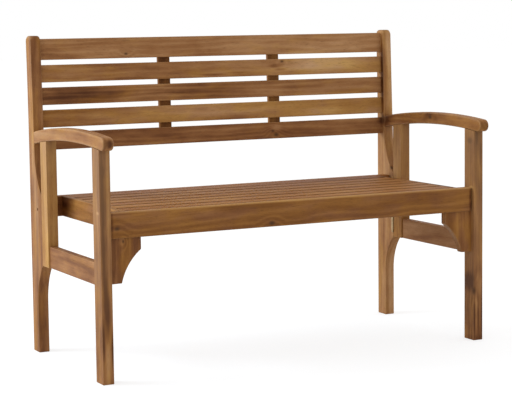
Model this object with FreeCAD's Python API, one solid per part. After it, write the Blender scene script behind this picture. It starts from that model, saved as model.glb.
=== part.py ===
import FreeCAD, Part
import math
import os

# A wooden garden bench that folds flat: the seat lifts against the back on two pivot pins, and then
# the arm frames swing in on their hinges. Millimetres, +Z up. The bench faces -Y, its origin is on
# the ground under the middle of its box, and left and right are as seen from the front.

# Whole bench
overall_width = 1190.0
overall_depth = 567.0
overall_height = 900.0
member_thickness = 31.0
edge_round = 3.0
edge_bevel = 2.5

# Back posts: one shaped board each, widest at the seat
waist_width = 90.0
foot_width = 45.0
neck_width = 43.0
head_lean = 7.0
recline = 2.2
foot_curve_radius = 150.0
neck_curve_radius = 165.0
waist_above_seat = 7.0
head_round = 9.0

# Back rest: slats between the posts, with two battens behind them
back_slat_count = 5
back_slat_width = 49.6
top_slat_width = 59.6
back_slat_gap = 14.2
back_slat_thickness = 15.0
back_slat_set_back = 12.5
top_slat_drop = 8.4
batten_spacing = 363.0
batten_shift = 7.5
batten_width = 38.5
batten_thickness = 10.0
batten_margin = 14.0

# Arm frames: leg, rear upright, lower rail and arched armrest
nose_overhang = 31.0
leg_depth = 48.0
upright_depth = 48.0
arm_gap = 0.8
lower_rail_level = 255.5
lower_rail_height = 59.5
lower_rail_thickness = 22.0
crown_height = 655.0
crown_set_back = 185.0
armrest_thickness = 34.5
armrest_radius = 2000.0
armrest_bevel = 4.5

# Brackets on the front legs, which carry the front of the seat
bracket_reach = 89.0
bracket_height = 118.7
bracket_thickness = 22.0
bracket_set_back = 14.0
bracket_tip = 32.0
bracket_foot = 33.5
bracket_curve_radius = 153.0
bracket_clearance = 0.3

# Seat
seat_height = 448.0
seat_slat_count = 7
seat_slat_end_gap = 0.5
seat_slat_thickness = 19.0
seat_slat_gap = 8.0
seat_edge_gap = 2.5
front_rail_height = 69.0
front_rail_thickness = 23.0
front_rail_set_back = 9.5
front_rail_round = 4.5
rear_rail_height = 57.0
rear_rail_thickness = 30.0
side_rail_height = 57.0
side_rail_thickness = 25.0
side_rail_gap = 38.0
slat_ledge = 10.0
rail_end_gap = 2.0

# Pivot pins of the seat: fast in the rear rail, running in the posts
pivot_set_back = 31.0
pivot_drop = 35.0
pivot_pin_diameter = 8.0
pivot_clearance = 0.05
pivot_pin_recess = 2.0
pivot_pin_hold = 34.0

# Butt hinges: leaves let into the meeting faces of post and arm frame, barrel at the inner corner
lower_hinge_rise = 37.5
upper_hinge_drop = 30.0
hinge_height = 46.0
leaf_width = 22.0
leaf_thickness = 2.0
leaf_gap = 0.2
barrel_diameter = 7.0
barrel_seat = 2.0
knuckle_count = 3
knuckle_gap = 0.2
hinge_pin_diameter = 4.0
hinge_pin_clearance = 0.05
hinge_pin_stand_out = 1.0
barrel_sides = 10

# Mortise and tenon joints, and countersunk screws
tenon_length = 16.0
tenon_shoulder = 3.5
mortise_clearance = 0.1
mortise_end_gap = 1.0
screw_head_diameter = 6.4
screw_shank_diameter = 3.2
screw_head_height = 2.0
screw_sides = 6
hinge_screw_length = 20.0
batten_screw_length = 21.0
seat_screw_length = 50.0

# Places that follow from the sizes
half_width = overall_width / 2
half_depth = overall_depth / 2
inner_face = half_width - member_thickness
lean = math.radians(recline)

post_rear = half_depth - head_lean
waist_front = post_rear - waist_width
foot_front = post_rear - foot_width
neck_front = post_rear - neck_width
foot_sweep = math.acos(1 - (foot_front - waist_front) / foot_curve_radius)
foot_curve_low = lower_rail_level - foot_curve_radius * math.sin(foot_sweep)
waist_top = seat_height + waist_above_seat
neck_centre = neck_front - neck_curve_radius * math.cos(lean)
neck_sweep = math.acos((waist_front - neck_centre) / neck_curve_radius)
neck_level = waist_top + neck_curve_radius * (math.sin(neck_sweep) - math.sin(lean))

leg_front = nose_overhang - half_depth
leg_rear = leg_front + leg_depth
upright_rear = waist_front - arm_gap
upright_front = upright_rear - upright_depth
arch_centre_y = leg_front + crown_set_back
arch_centre_z = crown_height - armrest_radius

rail_end = inner_face - rail_end_gap
front_rail_front = leg_front + front_rail_set_back
front_rail_rear = front_rail_front + front_rail_thickness
front_rail_bottom = seat_height - front_rail_height
pivot_y = waist_front + pivot_set_back
pivot_level = seat_height - pivot_drop
rear_rail_front = pivot_y - rear_rail_thickness / 2
rear_rail_rear = pivot_y + rear_rail_thickness / 2
slat_underside = seat_height - seat_slat_thickness
side_rail_bottom = seat_height - side_rail_height
side_rail_outer = inner_face - side_rail_gap
side_rail_inner = side_rail_outer - side_rail_thickness
seat_slat_end = side_rail_inner + slat_ledge - seat_slat_end_gap

hinge_line = waist_front - arm_gap / 2
barrel_radius = barrel_diameter / 2
barrel_x = inner_face + barrel_seat - barrel_radius


def point(x, y, z):
    return FreeCAD.Vector(x, y, z)


def block(low, high, grow=(0, 0, 0)):
    """A box between two corners, made larger by grow on both sides along each axis."""
    size = [b - a + 2 * g for a, b, g in zip(low, high, grow)]
    corner = [a - g for a, g in zip(low, grow)]
    return Part.makeBox(*size, point(*corner))


def straight(start, end):
    return Part.LineSegment(start, end).toShape()


def curved(start, middle, end):
    return Part.Arc(start, middle, end).toShape()


def rounded_corner(before, corner, after, radius):
    """Start, middle and end of the arc that rounds one corner of an outline."""
    back = (before - corner).normalize()
    ahead = (after - corner).normalize()
    half_angle = back.getAngle(ahead) / 2
    trim = radius / math.tan(half_angle)
    inward = (back + ahead).normalize()
    centre = corner + inward * (radius / math.sin(half_angle))
    return corner + back * trim, centre - inward * radius, corner + ahead * trim


def rounded_outline(corners, radii):
    """A closed wire through the corners, each rounded to its own radius."""
    arcs = []
    for index, corner in enumerate(corners):
        after = corners[(index + 1) % len(corners)]
        arcs.append(rounded_corner(corners[index - 1], corner, after, radii[index]))
    edges = []
    for index, arc in enumerate(arcs):
        edges.append(straight(arcs[index - 1][2], arc[0]))
        edges.append(curved(*arc))
    return Part.Wire(edges)


def board(low, high, along, radii):
    """A straight board between two corners, with its four long edges rounded.

    The radii go round the section from its low corner, first along the next axis after the length.
    """
    first = (along + 1) % 3
    second = (along + 2) % 3
    corners = []
    for one, two in ((low, low), (high, low), (high, high), (low, high)):
        place = list(low)
        place[first] = one[first]
        place[second] = two[second]
        corners.append(point(*place))
    travel = [0, 0, 0]
    travel[along] = high[along] - low[along]
    return Part.Face(rounded_outline(corners, radii)).extrude(point(*travel))


def even_board(low, high, along):
    return board(low, high, along, [edge_round] * 4)


def rod(place, direction, length, sides, start_radius, end_radius):
    """A many-sided rod or cone from place along direction; small pieces that repeat have few sides."""
    turn = FreeCAD.Rotation(point(0, 0, 1), direction)

    def ring(radius, height):
        angles = [2 * math.pi * (step + 0.5) / sides for step in range(sides)]
        flat = [point(radius * math.cos(angle), radius * math.sin(angle), height) for angle in angles]
        return [place + turn.multVec(corner) for corner in flat]

    def flat_face(corners):
        return Part.Face(Part.makePolygon(corners + corners[:1]))

    low = ring(start_radius, 0)
    high = ring(end_radius, length)
    faces = [flat_face(low), flat_face(high)]
    for step in range(sides):
        faces.append(flat_face([low[step - 1], low[step], high[step], high[step - 1]]))
    solid = Part.Solid(Part.Shell(faces))
    return solid if solid.Volume > 0 else solid.reversed()


def screw(place, direction, length):
    """A countersunk screw: its head starts at place and its shank runs along direction."""
    head_radius = screw_head_diameter / 2
    shank_radius = screw_shank_diameter / 2
    head = rod(place, direction, screw_head_height, screw_sides, head_radius, shank_radius)
    neck = place + direction * screw_head_height
    shank = rod(neck, direction, length - screw_head_height, screw_sides, shank_radius, shank_radius)
    return head.fuse(shank).removeSplitter()


def cut_all(shape, tools):
    return shape.cut(Part.makeCompound(tools))


def mirrored(shape):
    return shape.mirror(point(0, 0, 0), point(1, 0, 0))


def export(name, shape):
    shape.exportStep("parts/" + name + ".step")


def export_pair(name, shape):
    """Writes a piece of the right side and its mirror image on the left."""
    export("right_" + name, shape)
    export("left_" + name, mirrored(shape))


# Back rest, drawn upright from the foot of the posts' straight front edge and then leaned back
def leaned(shape):
    turned = shape.copy()
    turned.rotate(point(0, 0, 0), point(1, 0, 0), -recline)
    turned.translate(point(0, neck_front, neck_level))
    return turned


def back_slat_spans():
    """Lower and upper edge of each back slat along the lean, from the top slat down."""
    top = (overall_height - top_slat_drop - neck_level) / math.cos(lean)
    spans = [(top - top_slat_width, top)]
    for _ in range(back_slat_count - 1):
        top = spans[-1][0] - back_slat_gap
        spans.append((top - back_slat_width, top))
    return spans


def back_slat_rear():
    return back_slat_set_back + back_slat_thickness


def back_slat_tenon(span, grow=(0, 0, 0)):
    """The bar that stands out of both ends of a back slat as its tenons."""
    reach = inner_face + tenon_length
    low = (-reach, back_slat_set_back + tenon_shoulder, span[0] + tenon_shoulder)
    high = (reach, back_slat_rear() - tenon_shoulder, span[1] - tenon_shoulder)
    return leaned(block(low, high, grow))


def batten_places():
    """Middle of each batten; the pair stands a little to the right of the bench's middle."""
    return {"left": batten_shift - batten_spacing / 2, "right": batten_shift + batten_spacing / 2}


def batten_screws():
    """One screw through each batten into the middle of each slat, from behind."""
    forward = point(0, -1, 0)
    screws = []
    for middle in batten_places().values():
        for low, high in back_slat_spans():
            place = point(middle, back_slat_rear() + batten_thickness, (low + high) / 2)
            screws.append(leaned(screw(place, forward, batten_screw_length)))
    return screws


def back_slat(span, screws):
    low = (-inner_face, back_slat_set_back, span[0])
    high = (inner_face, back_slat_rear(), span[1])
    slat = leaned(even_board(low, high, 0)).fuse(back_slat_tenon(span)).removeSplitter()
    return cut_all(slat, screws)


def back_batten(middle, screws):
    spans = back_slat_spans()
    half = batten_width / 2
    low = (middle - half, back_slat_rear(), spans[-1][0] + batten_margin)
    high = (middle + half, back_slat_rear() + batten_thickness, spans[0][1] - batten_margin)
    return cut_all(leaned(even_board(low, high, 2)), screws)


# Hinges of the right side; the left ones are their mirror images
def hinge_span(level):
    return level - hinge_height / 2, level + hinge_height / 2


def hinge_levels():
    """Middle of each hinge: one on the lower rail, one just under the seat's top."""
    return lower_rail_level + lower_hinge_rise, seat_height - upper_hinge_drop


def hinge_screws(level, side):
    """Two screws of one leaf, into the post for side 1 and into the arm frame for side -1."""
    across = inner_face + (barrel_seat + leaf_width) / 2
    inward = point(0, side, 0)
    screws = []
    for step in (-1, 1):
        place = point(across, hinge_line + side * leaf_gap / 2, level + step * hinge_height / 4)
        screws.append(screw(place, inward, hinge_screw_length))
    return screws


def leaf_recess(level, side):
    """The shallow seat of a leaf in the meeting face of a board, wider where the barrel lies."""
    bottom, top = hinge_span(level)
    seats = []
    for depth, reach in ((leaf_gap / 2 + leaf_thickness, leaf_width), (barrel_radius + knuckle_gap, barrel_seat)):
        ends = sorted((hinge_line, hinge_line + side * depth))
        seats.append(block((inner_face, ends[0], bottom), (inner_face + reach, ends[1], top)))
    return seats[0].fuse(seats[1])


def barrel_rod(low, high, radius):
    foot = point(barrel_x, hinge_line, low)
    return rod(foot, point(0, 0, 1), high - low, barrel_sides, radius, radius)


def hinge_leaf(level, side):
    """A flat leaf with every second knuckle of the barrel, bored for the pin."""
    bottom, top = hinge_span(level)
    face = hinge_line + side * leaf_gap / 2
    ends = sorted((face, face + side * leaf_thickness))
    near = barrel_x + barrel_radius + knuckle_gap
    leaf = block((near, ends[0], bottom), (inner_face + leaf_width, ends[1], top))
    pitch = hinge_height / knuckle_count
    for index in range(0 if side > 0 else 1, knuckle_count, 2):
        low = bottom + index * pitch + knuckle_gap / 2
        high = low + pitch - knuckle_gap
        tongue = block((barrel_x, ends[0], low), (near, ends[1], high))
        leaf = leaf.fuse(tongue).fuse(barrel_rod(low, high, barrel_radius))
    bore = barrel_rod(bottom, top, hinge_pin_diameter / 2 + hinge_pin_clearance)
    return cut_all(leaf.removeSplitter(), [bore] + hinge_screws(level, side))


def hinge_pin(level):
    bottom, top = hinge_span(level)
    return barrel_rod(bottom - hinge_pin_stand_out, top + hinge_pin_stand_out, hinge_pin_diameter / 2)


# Back posts
def post_outline():
    """Side outline of a back post, from the front of its foot up to the head and down the rear."""
    foot_centre = foot_front - foot_curve_radius
    lean_height = overall_height - neck_level
    lean_radius = (lean_height**2 + head_lean**2) / (2 * head_lean)
    lean_sweep = math.asin(lean_height / lean_radius)

    def place(y, z):
        return point(inner_face, y, z)

    def on_foot_curve(angle):
        y = foot_centre + foot_curve_radius * math.cos(angle)
        return place(y, foot_curve_low + foot_curve_radius * math.sin(angle))

    def on_neck_curve(angle):
        y = neck_centre + neck_curve_radius * math.cos(angle)
        rise = neck_curve_radius * (math.sin(lean) - math.sin(angle))
        return place(y, neck_level + rise)

    def on_rear_curve(angle):
        y = post_rear + lean_radius * (1 - math.cos(angle))
        return place(y, neck_level + lean_radius * math.sin(angle))

    neck = on_neck_curve(lean)
    head_front = place(neck.y + (overall_height - neck_level) * math.tan(lean), overall_height)
    head_rear = place(half_depth, overall_height)
    front_round = rounded_corner(neck, head_front, head_rear, head_round)
    rear_bend = place(post_rear, neck_level)
    rear_trim = lean_sweep - head_round / lean_radius
    rear_end = on_rear_curve(rear_trim)
    rear_round = rounded_corner(head_front, head_rear, rear_end, head_round)
    foot_start = on_foot_curve(0)
    foot_end = on_foot_curve(foot_sweep)
    neck_start = on_neck_curve(neck_sweep)
    return Part.Wire([
        straight(place(foot_front, 0), foot_start),
        curved(foot_start, on_foot_curve(foot_sweep / 2), foot_end),
        straight(foot_end, neck_start),
        curved(neck_start, on_neck_curve((neck_sweep + lean) / 2), neck),
        straight(neck, front_round[0]),
        curved(*front_round),
        straight(front_round[2], rear_round[0]),
        curved(*rear_round),
        curved(rear_round[2], on_rear_curve(rear_trim / 2), rear_bend),
        straight(rear_bend, place(post_rear, 0)),
        straight(place(post_rear, 0), place(foot_front, 0)),
    ])


def side_edges(solid):
    """The edges of an extruded outline that lie in its two flat sides, clear of the ground."""
    chosen = []
    for edge in solid.Edges:
        box = edge.BoundBox
        if box.XLength < edge_bevel / 100 and box.ZMax > edge_bevel:
            chosen.append(edge)
    return chosen


def right_post():
    blank = Part.Face(post_outline()).extrude(point(member_thickness, 0, 0))
    post = blank.makeChamfer(edge_bevel, side_edges(blank))
    grow = (mortise_end_gap, mortise_clearance, mortise_clearance)
    cuts = [back_slat_tenon(span, grow) for span in back_slat_spans()]
    bore_radius = pivot_pin_diameter / 2 + pivot_clearance
    start = point(inner_face, pivot_y, pivot_level)
    cuts.append(Part.makeCylinder(bore_radius, member_thickness, start, point(1, 0, 0)))
    for level in hinge_levels():
        cuts.append(leaf_recess(level, 1))
        cuts.extend(hinge_screws(level, 1))
    return cut_all(post, cuts)


# Arm frame of the right side
def armrest_blank():
    """The arched armrest with sharp edges, its round nose in front, run on into the post behind."""
    outer = armrest_radius
    inner = armrest_radius - armrest_thickness
    middle = (outer + inner) / 2
    nose = armrest_thickness / 2
    reach = arch_centre_y + half_depth
    front = math.atan2(nose, middle) - math.asin(reach / math.hypot(middle, nose))
    rear = math.asin((post_rear - arch_centre_y) / middle)

    def place(radius, angle, ahead=0.0):
        y = arch_centre_y + radius * math.sin(angle) - ahead * math.cos(angle)
        z = arch_centre_z + radius * math.cos(angle) + ahead * math.sin(angle)
        return point(inner_face, y, z)

    half = (front + rear) / 2
    outline = Part.Wire([
        curved(place(outer, front), place(outer, half), place(outer, rear)),
        straight(place(outer, rear), place(inner, rear)),
        curved(place(inner, rear), place(inner, half), place(inner, front)),
        curved(place(inner, front), place(middle, front, nose), place(outer, front)),
    ])
    return Part.Face(outline).extrude(point(member_thickness, 0, 0))


def post_clearance():
    """Everything behind the posts' straight front edge, less the gap that lets the arm swing."""
    low = (0, -arm_gap, -half_depth)
    return leaned(block(low, (overall_width, half_depth, overall_height)))


def top_tenon(front, rear, grow=(0, 0, 0)):
    """The tenon of a leg or upright in the armrest above it."""
    underside = arch_centre_z + armrest_radius - armrest_thickness
    top = underside + tenon_length / 2
    low = (inner_face + 2 * tenon_shoulder, front + 2 * tenon_shoulder, top - 2 * tenon_length)
    high = (half_width - 2 * tenon_shoulder, rear - 2 * tenon_shoulder, top)
    return block(low, high, grow)


def right_armrest():
    blank = armrest_blank()
    rear_end = blank.BoundBox.YMax - armrest_bevel
    edges = [edge for edge in blank.Edges if edge.BoundBox.XLength < edge_bevel / 100]
    long_edges = [edge for edge in edges if edge.BoundBox.YMin < rear_end]
    armrest = blank.makeChamfer(armrest_bevel, long_edges)
    grow = (mortise_clearance, mortise_clearance, mortise_end_gap)
    mortises = [top_tenon(leg_front, leg_rear, grow), top_tenon(upright_front, upright_rear, grow)]
    return cut_all(armrest, [post_clearance()] + mortises)


def right_support(front, rear, bottom):
    """A leg or upright: a straight board up to the arched underside, with its tenon on top."""
    high = (half_width, rear, crown_height - armrest_thickness)
    member = even_board((inner_face, front, bottom), high, 2)
    return member.cut(armrest_blank()).fuse(top_tenon(front, rear)).removeSplitter()


def lower_rail_tenon(grow=(0, 0, 0)):
    inset = (member_thickness - lower_rail_thickness) / 2 + tenon_shoulder
    low = (inner_face + inset, leg_rear - tenon_length, lower_rail_level + 2 * tenon_shoulder)
    high_level = lower_rail_level + lower_rail_height - 2 * tenon_shoulder
    high = (half_width - inset, upright_front + tenon_length, high_level)
    return block(low, high, grow)


def lower_rail_mortise():
    return lower_rail_tenon((mortise_clearance, mortise_end_gap, mortise_clearance))


def right_front_leg():
    return right_support(leg_front, leg_rear, 0).cut(lower_rail_mortise())


def right_rear_upright():
    cuts = [lower_rail_mortise()]
    for level in hinge_levels():
        cuts.append(leaf_recess(level, -1))
        cuts.extend(hinge_screws(level, -1))
    return cut_all(right_support(upright_front, upright_rear, lower_rail_level), cuts)


def right_lower_rail():
    inset = (member_thickness - lower_rail_thickness) / 2
    low = (inner_face + inset, leg_rear, lower_rail_level)
    high = (half_width - inset, upright_front, lower_rail_level + lower_rail_height)
    return even_board(low, high, 1).fuse(lower_rail_tenon()).removeSplitter()


def right_seat_bracket():
    """A corner bracket: short upright tip, hollow curve, short foot against the leg."""
    top = front_rail_bottom - bracket_clearance
    bottom = top - bracket_height
    front = leg_front + bracket_set_back

    def place(reach, z):
        return point(inner_face - reach, front, z)

    tip = place(bracket_reach, top - bracket_tip)
    foot = place(bracket_foot, bottom)
    chord = foot - tip
    sag = bracket_curve_radius - math.sqrt(bracket_curve_radius**2 - (chord.Length / 2) ** 2)
    hollow = point(-chord.z, 0, chord.x).normalize()
    outline = Part.Wire([
        straight(place(0, top), place(bracket_reach, top)),
        straight(place(bracket_reach, top), tip),
        curved(tip, (tip + foot) / 2 + hollow * sag, foot),
        straight(foot, place(0, bottom)),
        straight(place(0, bottom), place(0, top)),
    ])
    bracket = Part.Face(outline).extrude(point(0, bracket_thickness, 0))
    soft = []
    for edge in bracket.Edges:
        box = edge.BoundBox
        against_leg = box.XMin > inner_face - edge_bevel
        under_rail = box.ZMin > top - edge_bevel
        if box.YLength < edge_bevel / 100 and not against_leg and not under_rail:
            soft.append(edge)
    return bracket.makeChamfer(edge_bevel, soft)


# Seat
def seat_rail_places():
    """Middle of each rail that runs from front to rear, by its name."""
    side = side_rail_outer - side_rail_thickness / 2
    return {"left_seat_rail": -side, "middle_seat_rail": 0, "right_seat_rail": side}


def seat_rail_tenon(middle, grow=(0, 0, 0)):
    half = side_rail_thickness / 2 - tenon_shoulder
    low = (middle - half, front_rail_rear - tenon_length, side_rail_bottom + tenon_shoulder)
    high = (middle + half, rear_rail_front + tenon_length, slat_underside - tenon_shoulder)
    return block(low, high, grow)


def seat_rail_mortises():
    grow = (mortise_clearance, mortise_end_gap, mortise_clearance)
    return [seat_rail_tenon(middle, grow) for middle in seat_rail_places().values()]


def seat_slat_spans():
    """Front and rear edge of each seat slat, shared out evenly between the two cross rails."""
    first = front_rail_rear + seat_edge_gap
    room = rear_rail_front - seat_edge_gap - first
    pitch = (room + seat_slat_gap) / seat_slat_count
    return [(first + i * pitch, first + (i + 1) * pitch - seat_slat_gap) for i in range(seat_slat_count)]


def seat_screws():
    """One screw up into each slat through the middle rail and the ledges of the side rails."""
    upward = point(0, 0, 1)
    side = side_rail_inner + slat_ledge / 2
    screws = []
    for middle in (-side, 0, side):
        for front, rear in seat_slat_spans():
            place = point(middle, (front + rear) / 2, side_rail_bottom)
            screws.append(screw(place, upward, seat_screw_length))
    return screws


def side_rail_wall(side):
    """The outer part of a side rail, which rises past the ends of the slats to the seat's top."""
    ends = sorted((side * (side_rail_inner + slat_ledge), side * side_rail_outer))
    low = (ends[0], front_rail_rear, side_rail_bottom)
    return even_board(low, (ends[1], rear_rail_front, seat_height), 1)


def seat_rail(middle, screws):
    """A rail under the slats; a side rail is a ledge under them and a wall past their ends."""
    half = side_rail_thickness / 2
    ends = [middle - half, middle + half]
    pieces = [seat_rail_tenon(middle)]
    if middle:
        side = math.copysign(1, middle)
        ends = sorted((side * side_rail_inner, side * (side_rail_inner + slat_ledge + edge_round)))
        pieces.append(side_rail_wall(side))
    rail = block((ends[0], front_rail_rear, side_rail_bottom), (ends[1], rear_rail_front, slat_underside))
    for piece in pieces:
        rail = rail.fuse(piece)
    return cut_all(rail.removeSplitter(), screws)


def seat_slat(span, screws):
    low = (-seat_slat_end, span[0], slat_underside)
    slat = even_board(low, (seat_slat_end, span[1], seat_height), 0)
    return cut_all(slat, screws)


def seat_front_rail():
    low = (-rail_end, front_rail_front, front_rail_bottom)
    high = (rail_end, front_rail_rear, seat_height)
    radii = [edge_round, edge_round, edge_round, front_rail_round]
    return cut_all(board(low, high, 0, radii), seat_rail_mortises())


def right_pivot_pin():
    start = point(rail_end - pivot_pin_hold, pivot_y, pivot_level)
    length = half_width - pivot_pin_recess - start.x
    return Part.makeCylinder(pivot_pin_diameter / 2, length, start, point(1, 0, 0))


def seat_rear_rail():
    low = (-rail_end, rear_rail_front, seat_height - rear_rail_height)
    rail = even_board(low, (rail_end, rear_rail_rear, seat_height), 0)
    pin = right_pivot_pin()
    return cut_all(rail, seat_rail_mortises() + [pin, mirrored(pin)])


def write_back():
    export_pair("back_post", right_post())
    screws = batten_screws()
    export("batten_screws", Part.makeCompound(screws))
    for number, span in enumerate(back_slat_spans(), 1):
        export("back_slat_%d" % number, back_slat(span, screws))
    for side, middle in batten_places().items():
        export(side + "_back_batten", back_batten(middle, screws))


def write_arm_frames():
    export_pair("front_leg", right_front_leg())
    export_pair("rear_upright", right_rear_upright())
    export_pair("lower_rail", right_lower_rail())
    export_pair("armrest", right_armrest())
    export_pair("seat_bracket", right_seat_bracket())


def write_hinges():
    screws = []
    for name, level in zip(("lower", "upper"), hinge_levels()):
        export_pair(name + "_hinge_post_leaf", hinge_leaf(level, 1))
        export_pair(name + "_hinge_arm_leaf", hinge_leaf(level, -1))
        export_pair(name + "_hinge_pin", hinge_pin(level))
        screws.extend(hinge_screws(level, 1) + hinge_screws(level, -1))
    screws.extend([mirrored(one) for one in screws])
    export("hinge_screws", Part.makeCompound(screws))


def write_seat():
    export("seat_front_rail", seat_front_rail())
    export("seat_rear_rail", seat_rear_rail())
    export_pair("pivot_pin", right_pivot_pin())
    screws = seat_screws()
    export("seat_screws", Part.makeCompound(screws))
    for name, middle in seat_rail_places().items():
        export(name, seat_rail(middle, screws))
    for number, span in enumerate(seat_slat_spans(), 1):
        export("seat_slat_%d" % number, seat_slat(span, screws))


os.makedirs("parts", exist_ok=True)
write_back()
write_arm_frames()
write_hinges()
write_seat()
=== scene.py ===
import math

import bmesh
import bpy
import numpy as np
from mathutils import Matrix


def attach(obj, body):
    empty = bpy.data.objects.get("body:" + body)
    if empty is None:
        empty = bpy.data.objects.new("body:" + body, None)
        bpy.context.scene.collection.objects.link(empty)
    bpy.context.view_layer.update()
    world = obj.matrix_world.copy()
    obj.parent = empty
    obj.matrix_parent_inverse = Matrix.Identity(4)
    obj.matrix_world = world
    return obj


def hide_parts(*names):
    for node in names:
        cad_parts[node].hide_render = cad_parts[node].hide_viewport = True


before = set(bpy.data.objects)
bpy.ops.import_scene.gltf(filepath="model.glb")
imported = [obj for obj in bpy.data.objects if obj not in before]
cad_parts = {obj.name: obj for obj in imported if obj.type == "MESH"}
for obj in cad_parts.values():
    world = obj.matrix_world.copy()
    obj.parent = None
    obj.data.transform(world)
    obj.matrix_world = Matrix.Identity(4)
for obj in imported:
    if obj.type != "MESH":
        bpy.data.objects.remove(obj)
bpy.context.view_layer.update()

# A wooden garden bench that folds flat. All sizes are in millimetres in the part's own frame, as
# in its source, and become metres when a mesh is made.
MILLIMETRE = 0.001

half_width = 595.0
inner_face = 564.0
overall_height = 900.0
half_depth = 283.5
edge = 1.5
slat_ease = 2.4
joint_lap = 0.3
sharp_angle = math.radians(38)

post_rear = 276.5
waist_front = 186.5
foot_front = 231.5
neck_front = 233.5
waist_top = 455.0
foot_curve = 150.0
neck_curve = 165.0
head_round = 9.0
head_ease = 7.5
head_ease_start, head_ease_run = 885.0, 12.0
foot_ease = 2.0
lean = math.radians(2.2)
foot_sweep = math.acos(1 - (foot_front - waist_front) / foot_curve)
neck_centre = neck_front - neck_curve * math.cos(lean)
neck_sweep = math.acos((waist_front - neck_centre) / neck_curve)
neck_level = waist_top + neck_curve * (math.sin(neck_sweep) - math.sin(lean))

slat_widths = (59.6, 49.6, 49.6, 49.6, 49.6)
slat_gap = 14.2
slat_front = 12.5
slat_rear = 27.5
top_slat_drop = 8.4
batten_middles = {"left": -174.0, "right": 189.0}
batten_rear = 37.5
batten_half = 19.25
batten_end = 14.0
batten_ease = 2.2

leg_front, leg_rear = -252.5, -204.5
upright_front, upright_rear = 137.7, 185.7
arm_gap = 0.8
rail_low, rail_high = 255.5, 315.0
lower_rail_inset = 4.5
support_blank_top = 650.0
arch_centre = (-67.5, -1345.0)
arch_outer = 2000.0
arch_inner = 1965.5
armrest_ease = 4.8

bracket_front, bracket_rear = -238.5, -216.5
bracket_top = 378.7
bracket_low = 260.0
bracket_reach = 89.0
bracket_tip = 32.0
bracket_foot = 33.5
bracket_hollow = 153.0
bracket_round = 2.9
bracket_ease = 2.5

seat_top = 448.0
seat_under = 429.0
rail_under = 391.0
front_rail = (-243.0, -220.0)
front_rail_low = 379.0
front_rail_round = 4.5
rear_rail = (202.5, 232.5)
rail_end = 562.0
side_rail_outer = 526.0
side_rail_wall = 511.0
side_rail_inner = 501.0
middle_rail_half = 12.5
seat_slat_end = 510.5
seat_slats = 7
seat_slat_gap = 8.0
seat_edge_gap = 2.5
pivot_y, pivot_level, pivot_radius = 217.5, 413.0, 4.0
pivot_bore = 4.3
bore_start, bore_length = 549.0, 60.0
pivot_pin_hold = 34.0
pivot_pin_short = 2.0

hinge_levels = {"lower": 293.0, "upper": 418.0}
hinge_line = 186.1
hinge_half = 23.0
leaf_far = 586.0
leaf_near, leaf_deep = 0.1, 2.1
leaf_middle = 576.0
leaf_screw_step = 11.5
leaf_screw_sink = 0.4
barrel_x = 562.5
barrel_radius = 3.5
barrel_depth = 2.0
barrel_seat = 3.7
knuckle_gap = 0.12
hinge_pin_radius = 2.0
hinge_pin_end = 1.0


# Shapes
def unit(rows):
    """Each row divided by its length."""
    return rows / np.maximum(np.linalg.norm(rows, axis=-1, keepdims=True), 1e-12)


def arc(centre, radius, start, end, count):
    """Points of a circle: centre plus radius times (cos, sin) of evenly spaced angles."""
    angle = np.linspace(start, end, count)
    return np.asarray(centre) + radius * np.stack([np.cos(angle), np.sin(angle)], 1)


def softened(corners, radii, steps=5):
    """Closed outline whose corners are rounded.

    At each corner, the arc that touches both sides runs from one touching point to the other, as
    weights sin((1 - t) turn) and sin(t turn) of the two. A point on the straight stands before and
    after the arc, so that flat faces shade flat. A corner of radius 0 stays one point.
    """
    corners = np.asarray(corners, float)
    radii = np.broadcast_to(np.asarray(radii, float), len(corners))
    back = unit(np.roll(corners, 1, 0) - corners)
    ahead = unit(np.roll(corners, -1, 0) - corners)
    half = np.arccos(np.clip((back * ahead).sum(1), -1, 1)) / 2
    trim = (radii / np.tan(half))[:, None]
    centre = corners + unit(back + ahead) * (radii / np.sin(half))[:, None]
    turn = np.maximum(math.pi - 2 * half, 1e-6)[:, None]
    share = np.linspace(0, 1, steps)
    first = np.sin((1 - share) * turn) / np.sin(turn)
    last = np.sin(share * turn) / np.sin(turn)
    start = (corners + back * trim - centre)[:, None]
    end = (corners + ahead * trim - centre)[:, None]
    arcs = centre[:, None] + first[..., None] * start + last[..., None] * end
    before = (corners + back * trim * 1.5)[:, None]
    after = (corners + ahead * trim * 1.5)[:, None]
    rows = np.concatenate([before, arcs, after], 1)
    return rows[(radii > 0)[:, None] | (np.arange(steps + 2) == 1)]


def grid_faces(rows, columns):
    """Quads between neighbouring rows of a grid that closes on itself along each row."""
    corner = np.arange(rows * columns).reshape(rows, columns)
    beside = np.roll(corner, -1, 1)
    quads = np.stack([corner[:-1], beside[:-1], beside[1:], corner[1:]], -1)
    return quads.reshape(-1, 4).tolist()


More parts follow.
